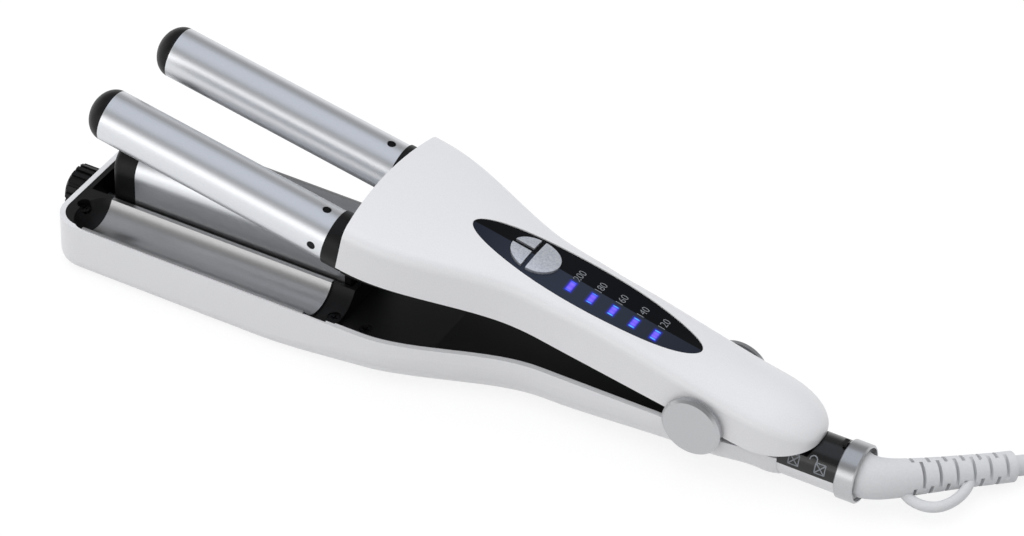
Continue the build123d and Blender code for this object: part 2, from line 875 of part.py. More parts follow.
def sleeve_planes():
    """Planes square to the sleeve's middle line, one at each point of its route."""
    points = [Vector(*p) for p in sleeve_route]
    planes = [Plane(origin=points[0], x_dir=(0, 1, 0), z_dir=(1, 0, 0))]
    for before, point, after in zip(points, points[1:], points[2:]):
        along = after - before
        planes.append(Plane(origin=point, x_dir=along.cross(Vector(0, 0, 1)), z_dir=along))
    along = points[-1] - points[-2]
    planes.append(Plane(origin=points[-1], x_dir=along.cross(Vector(0, 0, 1)), z_dir=along))
    return planes


def make_strain_relief():
    planes = sleeve_planes()
    last = len(planes) - 1
    rounds = []
    for i, plane in enumerate(planes):
        radius = sleeve_end_radius + (sleeve_root_radius - sleeve_end_radius) * (1 - i / last) ** 2
        rounds.append(plane * Circle(radius))
    sleeve = loft(rounds)
    for i in range(sleeve_slots):
        share = 0.38 + 0.56 * i / (sleeve_slots - 1)
        index = min(int(share * last), last - 1)
        step = share * last - index
        a, b = planes[index], planes[index + 1]
        place = a.origin + (b.origin - a.origin) * step
        along = a.z_dir + (b.z_dir - a.z_dir) * step
        plane = Plane(origin=place, x_dir=along.cross(Vector(0, 0, 1)), z_dir=along)
        for turn in (45 + 90 * (i % 2), 225 + 90 * (i % 2)):
            sleeve -= plane * Rot(0, 0, turn) * Pos(slot_core + 5, 0, 0) * Box(10, slot_reach, slot_width)
    loop_path = Spline(*loop_route)
    start = Plane(origin=loop_path @ 0, z_dir=loop_path % 0)
    return sleeve + sweep(start * Circle(loop_radius), loop_path)


def bend_radii(points):
    """The largest arc at each inner point that its two runs allow."""
    points = [Vector(*p) for p in points]
    radii = []
    for before, point, after in zip(points, points[1:], points[2:]):
        turn = math.radians((point - before).get_angle(after - point))
        shorter = min((point - before).length, (after - point).length)
        radii.append(0.45 * shorter / math.tan(turn / 2))
    return radii


def cord_tube(points):
    radii = bend_radii(points)
    print("bend radii:", [round(r, 1) for r in radii])
    path = FilletPolyline(*points, radius=radii)
    start = Plane(origin=path @ 0, z_dir=path % 0)
    print("length:", round(path.length, 1))
    return sweep(start * Circle(cord_radius), path)


def coil_arcs():
    """Half turns as (start, middle, end): spiral in, climb a layer, spiral out, climb over it."""
    ahead = (Vector(*lead_route[-1]) - Vector(*lead_route[-2])).normalized()
    outward = Vector(-ahead.Y, ahead.X, 0)
    radii = [coil_outer_radius - i * coil_pitch / 2 for i in range(coil_arcs_in + 1)]
    radii += [radii[-1] + (i + 1) * coil_pitch / 2 for i in range(coil_arcs_out)]
    climbs = {coil_arcs_in: coil_pitch, coil_arcs_in + coil_arcs_out: plug_rise}
    place = Vector(*lead_route[-1]) + ahead * 2 * cord_radius
    side = 1
    arcs = []
    for i, radius in enumerate(radii):
        climb = Vector(0, 0, climbs.get(i, 0))
        centre = place - outward * side * radius + climb * 0.5
        reach = math.sqrt(radius ** 2 + (climb.Z / 2) ** 2)
        end = place - outward * side * 2 * radius + climb
        arcs.append((place, centre + ahead * side * reach, end))
        place = end
        side = -side
    return ahead, outward, arcs


def coil_gap(arcs):
    """Least gap between turns, measured on points a few millimetres apart."""
    points = []
    for start, middle, end in arcs:
        centre = (start + end) * 0.5
        for k in range(40):
            angle = math.pi * k / 40
            points.append(centre + (start - centre) * math.cos(angle) + (middle - centre) * math.sin(angle))
    least = 1e9
    for i, p in enumerate(points):
        for q in points[i + 40:]:
            least = min(least, (p - q).length)
    return least - 2 * cord_radius


def make_cord_coil():
    ahead, _, arcs = coil_arcs()
    first = Vector(*lead_route[-1])
    path = Wire([Line(first, arcs[0][0])] + [ThreePointArc(*arc) for arc in arcs])
    start = Plane(origin=first, z_dir=ahead)
    print("coil gap:", round(coil_gap(arcs), 2), "coil length:", round(path.length, 1))
    return sweep(start * Circle(cord_radius), path)


def plug_turn():
    """The quarter turn back over the coil: its start, middle and end, and the way it heads."""
    ahead, outward, arcs = coil_arcs()
    start = arcs[-1][2]
    centre = start + outward * plug_turn_radius
    share = plug_turn_radius * math.sqrt(0.5)
    return start, centre - (outward + ahead) * share, centre - ahead * plug_turn_radius, outward


def make_plug_cord():
    start, middle, end, heading = plug_turn()
    path = Wire([ThreePointArc(start, middle, end), Line(end, end + heading * plug_lead_run)])
    return sweep(Plane(origin=start, z_dir=path % 0) * Circle(cord_radius), path)


def plug_plane():
    _, _, end, heading = plug_turn()
    across = Vector(heading.Y, -heading.X, 0)
    return Plane(origin=end + heading * plug_lead_run, x_dir=across, z_dir=heading)


def make_plug_body():
    plane = plug_plane()
    grip = Pos(0, 0, plug_neck_length + plug_length / 2) * Box(plug_width, plug_height, plug_length)
    grip = fillet(grip.edges().filter_by(Axis.Z), 5)
    neck = Cylinder(plug_neck_radius, plug_neck_length + 2)
    return plane * (grip + Pos(0, 0, plug_neck_length / 2 + 1) * neck)


def make_plug_pins():
    plane = plug_plane()
    low = plug_neck_length + plug_length
    pins = Part()
    for side in (-1, 1):
        pins += Pos(side * plug_pin_pitch / 2, 0, low + plug_pin_length / 2) * Cylinder(
            plug_pin_radius, plug_pin_length)
    return plane * pins


def upper(shape):
    """Swing a piece of the closed upper arm open about the pivot pin."""
    return Pos(0, 0, pivot_height) * Rot(0, open_angle, 0) * Pos(0, 0, -pivot_height) * shape


def main():
    os.makedirs("parts", exist_ok=True)
    save("lower_shell", make_lower_shell())
    save("lower_liner", make_lower_liner())
    save("liner_screws", make_liner_screws())
    for name, side in sides.items():
        save("trough_plate_" + name, make_trough_plate(side))
        save("trough_heater_" + name, make_trough_heater(side))
        save("barrel_" + name, upper(make_barrel(side)))
        save("barrel_cap_" + name, upper(make_barrel_cap(side)))
        save("barrel_collar_" + name, upper(make_barrel_collar(side)))
        save("barrel_heater_" + name, upper(make_barrel_heater(side)))
        save("pivot_disc_" + name, make_pivot_disc(side))
    save("barrel_screws", upper(make_barrel_screws()))
    save("upper_cover", upper(make_upper_cover()))
    save("inner_cover", upper(make_inner_cover()))
    save("control_lens", upper(make_control_lens()))
    save("light_bars", upper(make_light_bars()))
    save("circuit_board", upper(make_circuit_board()))
    save("button_switches", upper(make_button_switches()))
    save("thermal_fuse", upper(make_thermal_fuse()))
    for name, button in make_buttons().items():
        save(name, upper(button))
    save("dial_knob", make_dial_knob())
    save("lift_screw", make_lift_screw())
    save("lift_wedge", make_lift_wedge())
    save("middle_barrel", make_middle_barrel())
    save("middle_cap_front", make_middle_cap_front())
    save("middle_cap_rear", make_middle_cap_rear())
    save("middle_ramp", make_middle_ramp())
    save("middle_heater", make_middle_heater())
    save("pivot_pin", make_pivot_pin())
    save("opening_spring", make_opening_spring())
    save("tail_neck", make_tail_neck())
    save("lock_ring", make_lock_ring())
    save("lock_tab", make_lock_tab())
    save("swivel_bush", make_swivel_bush())
    save("slip_contacts", make_slip_contacts())
    save("strain_relief", make_strain_relief())
    save("cord", cord_tube(lead_route))
    save("cord_coil", make_cord_coil())
    save("plug_cord", make_plug_cord())
    save("plug_body", make_plug_body())
    save("plug_pins", make_plug_pins())
    print("frame shift:", frame_shift)


main()
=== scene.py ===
# %% [markdown]
# # A three-barrel waving iron
# The construction comes as a fixed frame: every rigid piece is already at its real size and in
# its real place. This script gives each piece its finish, lays the mains cord, prints the
# numbers and signs, and sets up the light and the camera. Lengths are in metres.

# %% Load the construction
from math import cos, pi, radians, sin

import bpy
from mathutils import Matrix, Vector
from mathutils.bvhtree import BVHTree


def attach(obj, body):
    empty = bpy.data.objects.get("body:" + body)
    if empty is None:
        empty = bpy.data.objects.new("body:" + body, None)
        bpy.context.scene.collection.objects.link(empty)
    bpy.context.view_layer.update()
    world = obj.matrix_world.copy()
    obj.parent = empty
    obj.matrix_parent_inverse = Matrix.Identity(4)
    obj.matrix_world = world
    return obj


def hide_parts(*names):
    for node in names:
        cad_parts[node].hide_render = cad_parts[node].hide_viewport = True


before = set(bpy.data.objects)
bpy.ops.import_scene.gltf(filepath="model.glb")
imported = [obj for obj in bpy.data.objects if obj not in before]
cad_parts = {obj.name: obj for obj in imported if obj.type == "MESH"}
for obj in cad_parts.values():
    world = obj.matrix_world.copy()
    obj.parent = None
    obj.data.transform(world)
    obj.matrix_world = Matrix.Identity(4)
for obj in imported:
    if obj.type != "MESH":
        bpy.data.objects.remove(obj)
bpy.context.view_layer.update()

# %% [markdown]
# ## Units and a starting point
# Sizes are quoted in millimetres, as a maker quotes them, and turned to metres on the way in.
# Most of them are measured from the point on the table under the pivot pin, and the upper arm
# stands open by 10.4 degrees about that pin.

MM = 0.001
PIVOT = Vector((101.7, 0.0, 22.0)) * MM
OPEN_ANGLE = radians(10.4)
print("pieces in the frame:", len(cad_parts))


def on_tool(x, y, z):
    """A point given in millimetres from under the pivot pin, in the frame's metres."""
    return Vector((x * MM + PIVOT.x, y * MM, z * MM))


# %% [markdown]
# ## The camera
# The photo was taken with a long lens from above the near side. Matching the straight edges of
# the barrels, the rims and the round disc gave its direction, its distance and its focal length.

# %% Place the camera
CAMERA_AZIMUTH = radians(28.17)
CAMERA_ELEVATION = radians(38.63)
CAMERA_ROLL = radians(1.80)
CAMERA_DISTANCE = 1.564
FOCAL_PIXELS = 4567.0
IMAGE_WIDTH = 1024
IMAGE_HEIGHT = 536
PIVOT_GROUND_PIXEL = (712.36, 446.07)
SENSOR_WIDTH = 36.0

back = Vector((
    sin(CAMERA_AZIMUTH) * cos(CAMERA_ELEVATION),
    -cos(CAMERA_AZIMUTH) * cos(CAMERA_ELEVATION),
    sin(CAMERA_ELEVATION),
))
level = Vector((cos(CAMERA_AZIMUTH), sin(CAMERA_AZIMUTH), 0))
upright = back.cross(level)
right = level * cos(CAMERA_ROLL) + upright * sin(CAMERA_ROLL)
up = upright * cos(CAMERA_ROLL) - level * sin(CAMERA_ROLL)
shift_right = (PIVOT_GROUND_PIXEL[0] - IMAGE_WIDTH / 2) / FOCAL_PIXELS * CAMERA_DISTANCE
shift_up = -(PIVOT_GROUND_PIXEL[1] - IMAGE_HEIGHT / 2) / FOCAL_PIXELS * CAMERA_DISTANCE

camera_data = bpy.data.cameras.new("studio_camera")
camera_data.sensor_width = SENSOR_WIDTH
camera_data.lens = FOCAL_PIXELS / IMAGE_WIDTH * SENSOR_WIDTH
camera = bpy.data.objects.new("studio_camera", camera_data)
place = on_tool(0, 0, 0) + back * CAMERA_DISTANCE - right * shift_right - up * shift_up
camera.matrix_world = Matrix.Translation(place) @ Matrix((right, up, back)).transposed().to_4x4()
bpy.context.scene.collection.objects.link(camera)
bpy.context.scene.camera = camera
print("lens:", round(camera_data.lens, 1), "mm")

# %% [markdown]
# ## The mains cord
# A 7 mm PVC cord leaves the slotted sleeve at the tail and runs out of the picture. The 1.8 m
# that such a tool has is wound into a round coil just past the picture's edge: three turns in
# on the table, a climb of one layer, and three turns out on top. The last half turn climbs
# again, and a quarter turn brings the plug back to lie on the coil. One smooth NURBS curve
# follows the same route points as the construction.

# %% The cord's route
CORD_DIAMETER = 0.0072
LEAD_ROUTE = [
    (95, 36.8, 5.8), (102.8, 45.5, 4.35), (109.8, 53.1, 3.9), (121, 61.5, 3.75), (134, 67.6, 3.7),
    (148, 70.6, 3.7), (163.8, 70.6, 3.7),
]
COIL_RADIUS = 50.0
COIL_PITCH = 7.8
ARCS_IN = 6
ARCS_OUT = 6
STEPS_PER_ARC = 8
PLUG_RISE = 11.7
PLUG_TURN_RADIUS = 26.6
PLUG_RUN = 7.2

ahead = (Vector(LEAD_ROUTE[-1]) - Vector(LEAD_ROUTE[-2])).normalized()
outward = Vector((-ahead.y, ahead.x, 0))
# A curve of order 3 runs a little inside its points. A circle of points is made wider by this
# factor, so that the cord itself gets the wanted radius.
swell = 1 / (0.75 + 0.25 * cos(pi / STEPS_PER_ARC))


def coil_points():
    """Half turns of steadily changing size: in on the table, out on the second layer."""
    radii = [COIL_RADIUS - i * COIL_PITCH / 2 for i in range(ARCS_IN + 1)]
    radii += [radii[-1] + (i + 1) * COIL_PITCH / 2 for i in range(ARCS_OUT)]
    climbs = {ARCS_IN: COIL_PITCH, ARCS_IN + ARCS_OUT: PLUG_RISE}
    spot = Vector(LEAD_ROUTE[-1]) + ahead * CORD_DIAMETER / MM
    points = []
    for i, radius in enumerate(radii):
        side = 1 if i % 2 == 0 else -1
        climb = climbs.get(i, 0)
        centre = spot - outward * side * radius
        for step in range(STEPS_PER_ARC):
            angle = pi * (step + 0.5) / STEPS_PER_ARC
            arm = outward * cos(angle) * side + ahead * sin(angle) * side
            rise = climb * (1 - cos(angle)) / 2
            points.append(centre + arm * radius * swell + Vector((0, 0, rise)))
        spot = spot - outward * side * 2 * radius + Vector((0, 0, climb))
    return points, spot


def plug_points(start):
    """A quarter turn from the end of the coil, then straight to the plug."""
    centre = start + outward * PLUG_TURN_RADIUS
    points = []
    for step in range(STEPS_PER_ARC // 2):
        angle = pi * (step + 0.5) / STEPS_PER_ARC
        arm = outward * -cos(angle) - ahead * sin(angle)
        points.append(centre + arm * PLUG_TURN_RADIUS * swell)
    return points + [centre - ahead * PLUG_TURN_RADIUS + outward * PLUG_RUN]


turns, coil_end = coil_points()
cord_route = [Vector(p) for p in LEAD_ROUTE] + turns + plug_points(coil_end)
print("cord route points:", len(cord_route))


# %% Draw the cord as one curve
def smooth_tube(name, points, radius, body):
    """A round tube along one NURBS spline that rides on a body.

    The spline's points carry the radius, because Blender counts it into the curve's bounding box.
    """
    data = bpy.data.curves.new(name, "CURVE")
    data.dimensions = "3D"
    data.bevel_depth = 1.0
    data.bevel_resolution = 6
    data.resolution_u = 6
    data.use_fill_caps = True
    spline = data.splines.new("NURBS")
    spline.points.add(len(points) - 1)
    for control, point in zip(spline.points, points):
        control.co = (*point, 1)
        control.radius = radius
    spline.order_u = 3
    spline.use_endpoint_u = True
    piece = bpy.data.objects.new(name, data)
    bpy.context.scene.collection.objects.link(piece)
    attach(piece, body)
    return piece


mains_cord = smooth_tube(
    "mains_cord", [on_tool(*p) for p in cord_route], CORD_DIAMETER / 2, "lower_arm")
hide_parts("cord", "cord_coil", "plug_cord")
print("the coil starts at", [round(v, 3) for v in on_tool(*turns[0])])

# %% [markdown]
# ## Tools for materials
# Colours are written as the sRGB hex values that a picture editor shows. Blender works in
# linear light, so one function converts them. A second function adds a shader node with its
# settings and its links, and everything below is built from those two.


# %% Colour and node helpers
def linear(hex_colour):
    """An sRGB hex value as linear red, green, blue and alpha."""
    channels = [int(hex_colour[i:i + 2], 16) / 255 for i in (0, 2, 4)]
    return [c / 12.92 if c <= 0.04045 else ((c + 0.055) / 1.055) ** 2.4 for c in channels] + [1.0]


def add_node(tree, kind, settings=None, inputs=None, links=None):
    """Adds one shader node: settings on the node, values on its sockets, links into them."""
    node = tree.nodes.new(kind)
    for name, value in (settings or {}).items():
        setattr(node, name, value)
    for name, value in (inputs or {}).items():
        node.inputs[name].default_value = value
    for name, source in (links or {}).items():
        tree.links.new(source, node.inputs[name])
    return node


def new_material(name, **sockets):
    """A material with one Principled shader; keyword names are its sockets, with _ for a space."""
    material = bpy.data.materials.new(name)
    material.use_nodes = True
    shader = material.node_tree.nodes["Principled BSDF"]
    for socket, value in sockets.items():
        shader.inputs[socket.replace("_", " ")].default_value = value
    return material, material.node_tree, shader


def object_coordinates(tree):
    """A place in the piece's own coordinates, so that a pattern stays with it when it moves."""
    return add_node(tree, "ShaderNodeTexCoord").outputs["Object"]


def grain(tree, size_mm, detail=2.0, stretch=(1, 1, 1)):
    """Noise whose blobs are about size_mm across, in the piece's own coordinates."""
    stretched = add_node(tree, "ShaderNodeMapping", inputs={"Scale": stretch},
                         links={"Vector": object_coordinates(tree)})
    return add_node(tree, "ShaderNodeTexNoise",
                    inputs={"Scale": 1 / (size_mm * MM), "Detail": detail},
                    links={"Vector": stretched.outputs["Vector"]})


def bump_from(tree, shader, height, depth_mm):
    """Turns a height pattern into a relief depth_mm deep."""
    bump = add_node(tree, "ShaderNodeBump", inputs={"Distance": depth_mm * MM, "Strength": 1.0},
                    links={"Height": height})
    tree.links.new(bump.outputs["Normal"], shader.inputs["Normal"])


def ramp(tree, value, *stops):
    """A colour ramp from (place, colour) stops."""
    node = add_node(tree, "ShaderNodeValToRGB", links={"Fac": value})
    while len(node.color_ramp.elements) < len(stops):
        node.color_ramp.elements.new(0.5)
    for element, (place, colour) in zip(node.color_ramp.elements, stops):
        element.position = place
        element.color = linear(colour)
    return node.outputs["Color"]


def tint(tree, shader, pattern, dark, light, low=0.35, high=0.65):
    """Lets the base colour drift between two close tones as the pattern changes."""
    tree.links.new(ramp(tree, pattern, (low, dark), (high, light)), shader.inputs["Base Color"])


def paint(material, *names):
    """Gives a material to pieces, in every slot that they have.

    A construction piece is given by its name, and a piece made here as itself.
    """
    for name in names:
        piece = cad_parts[name] if isinstance(name, str) else name
        if not piece.material_slots:
            piece.data.materials.append(material)
        for slot in piece.material_slots:
            slot.material = material
    print(material.name, "on", len(names), "pieces")


print("mid grey in linear light:", round(linear("808080")[0], 3))

# %% [markdown]
# ## White covers
# The two covers are injection-moulded ABS with a pearl lacquer: fine mica flakes under a clear
# coat. It reads as a bright white with soft broad highlights and a hint of sparkle close up.
# Real flakes are a few hundredths of a millimetre, too fine to show, so they are drawn 0.35 mm
# across.

# %% Pearl-lacquered ABS
pearl_abs, tree, shader = new_material(
    "pearl_lacquered_abs", Roughness=0.4, IOR=1.5, Coat_Weight=0.35, Coat_Roughness=0.16)
flakes = grain(tree, 0.35, detail=1.0)
tint(tree, shader, flakes.outputs["Fac"], "e6e6e8", "eaeaec")
bump_from(tree, shader, flakes.outputs["Fac"], 0.002)
paint(pearl_abs, "upper_cover", "lower_shell")

# %% [markdown]
# ## Black mouldings
# The liner, the inner cover, the caps and the dial are black ABS from a spark-eroded mould: a
# fine even grain that breaks the highlights up but leaves a soft sheen. The real grain is about
# 0.1 mm, and it is drawn 0.35 mm across to show.

# %% Spark-grained black ABS
black_abs, tree, shader = new_material(
    "spark_grained_black_abs", Roughness=0.42, IOR=1.5, Specular_IOR_Level=0.22)
spark = grain(tree, 0.35, detail=3.0)
tint(tree, shader, spark.outputs["Fac"], "0c0c0d", "131315")
bump_from(tree, shader, spark.outputs["Fac"], 0.01)
paint(black_abs, "lower_liner", "inner_cover", "barrel_cap_near", "barrel_cap_far",
      "barrel_collar_near", "barrel_collar_far", "middle_cap_front", "middle_cap_rear",
      "middle_ramp", "lift_wedge", "swivel_bush", "button_switches", "dial_knob")

# %% [markdown]
# The neck and its lock tab come from a polished mould, because the ring slides over them. They
# are as black, but they mirror the soft box in a pale streak.

# %% Polished black ABS
polished_black, tree, shader = new_material("polished_black_abs", Roughness=0.2, IOR=1.5)
wear = grain(tree, 1.2, detail=2.0)
tint(tree, shader, wear.outputs["Fac"], "0b0b0c", "121214")
bump_from(tree, shader, wear.outputs["Fac"], 0.002)
paint(polished_black, "tail_neck", "lock_tab")

# %% [markdown]
# ## Aluminium barrels
# The barrels and trough plates are aluminium tube and sheet, bead-blasted and anodised. The
# oxide scatters the light, so a barrel shows long soft bands instead of mirror images: the
# white table below, the pale room, and the soft box above. A very fine drawn grain runs along
# them. It is drawn 0.3 mm wide, which is coarser than the real one, and kept very faint.

# %% Satin anodised aluminium
satin_aluminium, tree, shader = new_material(
    "satin_anodised_aluminium", Metallic=1.0, Roughness=0.36)
drawn = grain(tree, 0.3, detail=2.0, stretch=(0.2, 1, 1))
tint(tree, shader, drawn.outputs["Fac"], "dadce0", "dee0e3")
bump_from(tree, shader, drawn.outputs["Fac"], 0.0004)
paint(satin_aluminium, "barrel_near", "barrel_far", "middle_barrel")

# %% [markdown]
# The two trough plates are rolled sheet with a duller, slightly grey oxide, so they stay
# darker than the tubes above them.

# %% Matt anodised sheet
matt_sheet, tree, shader = new_material("matt_anodised_sheet", Metallic=1.0, Roughness=0.34)
rolled = grain(tree, 0.35, detail=2.0, stretch=(0.2, 1, 1))
tint(tree, shader, rolled.outputs["Fac"], "afafb0", "b4b4b5")
bump_from(tree, shader, rolled.outputs["Fac"], 0.0008)
paint(matt_sheet, "trough_plate_near", "trough_plate_far")

# %% [markdown]
# ## Turned metal trim
# The two pivot discs and the lock ring are turned aluminium with a bead-blasted face, a little
# darker and more neutral than the barrels.

# %% Blasted trim
blasted_trim, tree, shader = new_material("blasted_turned_aluminium", Metallic=1.0, Roughness=0.3)
blast = grain(tree, 0.3, detail=3.0)
tint(tree, shader, blast.outputs["Fac"], "b3b4b6", "bfc0c2")
bump_from(tree, shader, blast.outputs["Fac"], 0.003)
paint(blasted_trim, "pivot_disc_near", "pivot_disc_far", "lock_ring")

# %% [markdown]
# ## The control panel
# The panel is one long tinted acrylic lens, polished, with a ridge along its middle. The film
# behind it is near black. The near slope is drawn a lighter navy as painted light, and painted
# shade darkens the lens towards both ends. A faint blue glow is painted into the acrylic round
# each bar, where the lamps would light it. These patterns are worked out in the closed arm's own
# millimetres: along the arm from the pivot pin, and across it.

# %% The arm's own millimetres
ARM_BACK = Matrix.Rotation(-OPEN_ANGLE, 3, "Y") * (1 / MM)
FIRST_LIGHT = -59.1
LIGHT_PITCH = 8.4
LAST_LIGHT_NUMBER = 4.0
LIGHT_MIDDLE = -4.15
LIGHT_HALF = (1.1, 2.25)
LENS_MIDDLE = -54.9
LENS_HALF_LENGTH = 45.5


def arm_millimetres(tree):
    """Object coordinates turned back to the closed arm, in millimetres from the pivot pin."""
    turned = add_node(
        tree, "ShaderNodeMapping",
        inputs={"Location": ARM_BACK @ -PIVOT, "Rotation": (0, -OPEN_ANGLE, 0),
                "Scale": (1 / MM, 1 / MM, 1 / MM)},
        links={"Vector": object_coordinates(tree)})
    return add_node(tree, "ShaderNodeSeparateXYZ", links={0: turned.outputs["Vector"]}).outputs


def work_out(tree, operation, first, *numbers):
    """One step of arithmetic on a value; numbers are its other operands."""
    links = {0: first}
    values = {}
    for place, number in enumerate(numbers, 1):
        if isinstance(number, (int, float)):
            values[place] = number
        else:
            links[place] = number
    return add_node(tree, "ShaderNodeMath", {"operation": operation}, values, links).outputs[0]


def squared(tree, value):
    """A value times itself."""
    return work_out(tree, "MULTIPLY", value, value)


def outside(tree, value, half):
    """How far a distance reaches past the half size of a bar."""
    past = work_out(tree, "SUBTRACT", work_out(tree, "ABSOLUTE", value), half)
    return work_out(tree, "MAXIMUM", past, 0.0)


def scaled(tree, colour, factor):
    """A colour made lighter or darker by a factor."""
    node = add_node(tree, "ShaderNodeVectorMath", {"operation": "SCALE"},
                    links={0: colour, "Scale": factor})
    return node.outputs["Vector"]


def nearest_bar(tree, along):
    """The nearest bar, counted from 0 at the tip side, and how far along it is to its middle."""
    number = work_out(tree, "DIVIDE", work_out(tree, "SUBTRACT", along, FIRST_LIGHT), LIGHT_PITCH)
    whole = work_out(tree, "MAXIMUM", work_out(tree, "ROUND", number), 0.0)
    bar = work_out(tree, "MINIMUM", whole, LAST_LIGHT_NUMBER)
    return bar, work_out(tree, "MULTIPLY", work_out(tree, "SUBTRACT", number, bar), LIGHT_PITCH)


# %% Tinted acrylic
RIDGE_BLUR = 0.12
END_SHADE = 0.5

tinted_acrylic, tree, shader = new_material(
    "tinted_polished_acrylic", Roughness=0.16, IOR=1.49, Specular_IOR_Level=0.12,
    Emission_Strength=1.0)
along, across, _ = arm_millimetres(tree)
# 0 lies 1 mm to the near side of the ridge, and 1 lies 1 mm to the far side.
over_ridge = work_out(tree, "MULTIPLY_ADD", across, 0.5, 0.5)
# Painted light: the near slope gets a lighter navy than the near-black far slope, standing in for
# the light it catches.
film_and_painted_slope_light = ramp(tree, over_ridge, (0.5 - RIDGE_BLUR / 2, "2e3442"), (0.5 + RIDGE_BLUR / 2, "06080e"))
from_middle = work_out(tree, "DIVIDE", work_out(tree, "SUBTRACT", along, LENS_MIDDLE),
                       LENS_HALF_LENGTH)
# Painted shade: the lens colour is darkened towards both of its ends.
shade = work_out(tree, "MULTIPLY_ADD", squared(tree, from_middle), -END_SHADE, 1.0)
tree.links.new(scaled(tree, film_and_painted_slope_light, shade), shader.inputs["Base Color"])

_, off_along = nearest_bar(tree, along)
past_end = outside(tree, off_along, LIGHT_HALF[0])
past_side = outside(tree, work_out(tree, "SUBTRACT", across, LIGHT_MIDDLE), LIGHT_HALF[1])
distance = work_out(tree, "SQRT", work_out(tree, "ADD", squared(tree, past_end),
                                           squared(tree, past_side)))
# Painted glow: the acrylic itself shines blue round each bar, as if lit by the lamps under it.
painted_glow_round_bars = ramp(tree, distance, (0.0, "1410c0"), (0.45, "0e0c5c"), (1.0, "000000"))
tree.links.new(painted_glow_round_bars, shader.inputs["Emission Color"])
haze = grain(tree, 4.0, detail=1.0)
bump_from(tree, shader, haze.outputs["Fac"], 0.002)
paint(tinted_acrylic, "control_lens")

# %% [markdown]
# The buttons are moulded ABS painted silver with a coarse metallic flake, which gives them a
# mottled, slightly sparkling grey.

# %% Silver paint
silver_paint, tree, shader = new_material("metallic_silver_paint", Metallic=0.75, Roughness=0.36)
flake = grain(tree, 0.8, detail=2.0)
tint(tree, shader, flake.outputs["Fac"], "ced3de", "eceff5", 0.3, 0.7)
bump_from(tree, shader, flake.outputs["Fac"], 0.01)
paint(silver_paint, "power_button", "plus_button", "minus_button")

# %% [markdown]
# ## Light bars
# Each bar is the end of a clear guide over blue lamps on the board. It glows violet-blue,
# brightest along its middle line, and turns pale cyan over the lamps at its two ends, a little
# more from each bar to the next.

# %% Lit guides
FIRST_REACH = 0.74
REACH_STEP = 0.065
CORE_GLOW = 1.15
EDGE_LOSS = 0.6

blue_guide, tree, shader = new_material(
    "blue_lit_acrylic_guide", Base_Color=linear("0a0a40"), Roughness=0.25, Emission_Strength=1.0)
along, across, _ = arm_millimetres(tree)
bar, off_along = nearest_bar(tree, along)
off_across = work_out(tree, "ABSOLUTE", work_out(tree, "SUBTRACT", across, LIGHT_MIDDLE))
reach = work_out(tree, "MULTIPLY_ADD", bar, REACH_STEP, FIRST_REACH)
towards_end = work_out(tree, "DIVIDE", off_across, LIGHT_HALF[1])
place_in_bar = work_out(tree, "MULTIPLY", towards_end, reach)
colours = ramp(tree, place_in_bar, (0.0, "6c50ff"), (0.4, "7a68ff"), (0.6, "5a50fc"),
               (0.74, "3f6cff"), (0.82, "66d6ff"), (0.9, "4a9cff"), (1.0, "2c1ee8"))
off_line = work_out(tree, "DIVIDE", off_along, LIGHT_HALF[0])
core = work_out(tree, "MULTIPLY_ADD", squared(tree, off_line), -EDGE_LOSS, CORE_GLOW)
tree.links.new(scaled(tree, colours, core), shader.inputs["Emission Color"])
paint(blue_guide, "light_bars")

# %% [markdown]
# ## Soft PVC
# The sleeve, the cord and the plug are soft white PVC, moulded or drawn through a die. It is a
# little greyer than the covers and scatters light in its skin, so its highlights are wide.

# %% Soft white PVC
white_pvc, tree, shader = new_material("soft_white_pvc", Roughness=0.5, IOR=1.46)
skin = grain(tree, 0.8, detail=3.0)
tint(tree, shader, skin.outputs["Fac"], "d8d9db", "dcdddf")
bump_from(tree, shader, skin.outputs["Fac"], 0.004)
paint(white_pvc, "strain_relief", "plug_body", mains_cord)

# %% [markdown]
# ## Steel
# The pivot pin, the spring, the lift screw and the plug's pins are turned steel. The tool leaves
# fine rings across them, so the noise is squeezed along the axis. The screws are steel too,
# blackened in an oxide bath, which leaves a dark skin with a dull gleam.

# %% Turned steel
turned_steel, tree, shader = new_material("turned_steel", Metallic=1.0, Roughness=0.3)
lathe = grain(tree, 0.3, detail=2.0, stretch=(4, 1, 1))
tint(tree, shader, lathe.outputs["Fac"], "9d9d9f", "b6b6b8")
bump_from(tree, shader, lathe.outputs["Fac"], 0.005)
paint(turned_steel, "pivot_pin", "opening_spring", "lift_screw", "plug_pins")

# %% Blackened steel
black_oxide, tree, shader = new_material("black_oxide_steel", Metallic=1.0, Roughness=0.4)
oxide = grain(tree, 0.4, detail=2.0)
tint(tree, shader, oxide.outputs["Fac"], "1b1b1c", "2c2c2e")
bump_from(tree, shader, oxide.outputs["Fac"], 0.01)
paint(black_oxide, "liner_screws", "barrel_screws")

# %% [markdown]
# ## The parts inside
# Inside, the heaters and the fuse are sintered ceramic: chalky, with a fine sandy skin. The
# board is woven glass fibre under a green solder mask, and the slip contacts are bright brass.

# %% Sintered ceramic
sintered_ceramic, tree, shader = new_material("sintered_ceramic", Roughness=0.7, IOR=1.6)
sinter = grain(tree, 0.6, detail=4.0)
tint(tree, shader, sinter.outputs["Fac"], "cfc9b8", "e2ddce")
bump_from(tree, shader, sinter.outputs["Fac"], 0.03)
paint(sintered_ceramic, "trough_heater_near", "trough_heater_far", "barrel_heater_near",
      "barrel_heater_far", "middle_heater", "thermal_fuse")

# %% Glass-fibre laminate
green_laminate, tree, shader = new_material("glass_fibre_laminate", Roughness=0.4, IOR=1.5)
weave = grain(tree, 0.7, detail=1.0)
tint(tree, shader, weave.outputs["Fac"], "0f4a27", "14582f")
bump_from(tree, shader, weave.outputs["Fac"], 0.01)
paint(green_laminate, "circuit_board")

